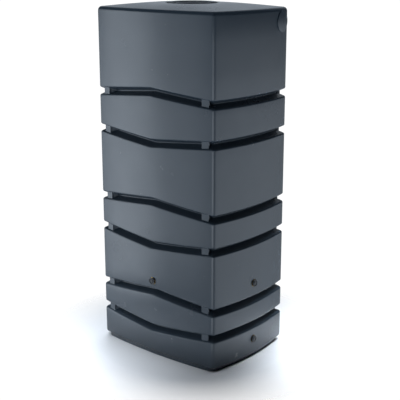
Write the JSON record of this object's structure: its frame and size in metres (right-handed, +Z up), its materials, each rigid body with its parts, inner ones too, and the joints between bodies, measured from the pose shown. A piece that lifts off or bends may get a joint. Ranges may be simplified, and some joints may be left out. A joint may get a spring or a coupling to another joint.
{
  "type": "rain barrel",
  "caption": "Tall rectangular rain tank banded by chevron grooves, with a round screw lid on top and threaded outlets closed by screw plugs.",
  "frame": {"origin": "on the floor, under the middle of the tank's foot", "axes": "+Z up; the wide front face with one outlet looks along -Y; the narrow side with two outlets looks along +X"},
  "size_m": [0.7825, 0.5925, 1.6816],
  "materials": {
    "tank_plastic": "satin slate-grey moulded polyethylene",
    "lid_plastic": "satin slate-grey injection-moulded polyethylene",
    "seal_rubber": "matte black rubber",
    "insert_brass": "machined",
    "plug_plastic": "fine-grained dark grey plastic"
  },
  "bodies": {
    "tank": {"tank_shell": "tank_plastic", "front_insert": "insert_brass", "side_insert": "insert_brass", "drain_insert": "insert_brass"},
    "lid_seal": {"lid_seal": "seal_rubber"},
    "lid": {"lid": "lid_plastic"},
    "front_seal": {"front_seal": "seal_rubber"},
    "front_plug": {"front_plug": "plug_plastic"},
    "side_seal": {"side_seal": "seal_rubber"},
    "side_plug": {"side_plug": "plug_plastic"},
    "drain_seal": {"drain_seal": "seal_rubber"},
    "drain_plug": {"drain_plug": "plug_plastic"}
  },
  "joints": [
    {"name": "lid_lift", "type": "slide", "parent": "tank", "child": "lid_seal", "axis": [0, 0, 1], "range_m": [0, 0.03]},
    {"name": "lid_turn", "type": "hinge", "parent": "lid_seal", "child": "lid", "pos_m": [0, 0, 1.68], "axis": [0, 0, 1], "range_deg": [0, 720]},
    {"name": "front_plug_slide", "type": "slide", "parent": "tank", "child": "front_seal", "axis": [0, -1, 0], "range_m": [0, 0.0145]},
    {"name": "front_plug_turn", "type": "hinge", "parent": "front_seal", "child": "front_plug", "pos_m": [0, -0.2925, 0.383], "axis": [0, -1, 0], "range_deg": [0, 2160]},
    {"name": "side_plug_slide", "type": "slide", "parent": "tank", "child": "side_seal", "axis": [1, 0, 0], "range_m": [0, 0.0145]},
    {"name": "side_plug_turn", "type": "hinge", "parent": "side_seal", "child": "side_plug", "pos_m": [0.3875, 0, 0.383], "axis": [1, 0, 0], "range_deg": [0, 2160]},
    {"name": "drain_plug_slide", "type": "slide", "parent": "tank", "child": "drain_seal", "axis": [1, 0, 0], "range_m": [0, 0.0145]},
    {"name": "drain_plug_turn", "type": "hinge", "parent": "drain_seal", "child": "drain_plug", "pos_m": [0.3875, 0, 0.097], "axis": [1, 0, 0], "range_deg": [0, 2160]}
  ],
  "couplings": [
    {"joint": "lid_lift", "follows": "lid_turn", "m_per_rad": 0.0019},
    {"joint": "front_plug_slide", "follows": "front_plug_turn", "m_per_rad": 0.0003675},
    {"joint": "side_plug_slide", "follows": "side_plug_turn", "m_per_rad": 0.0003675},
    {"joint": "drain_plug_slide", "follows": "drain_plug_turn", "m_per_rad": 0.0003675}
  ]
}
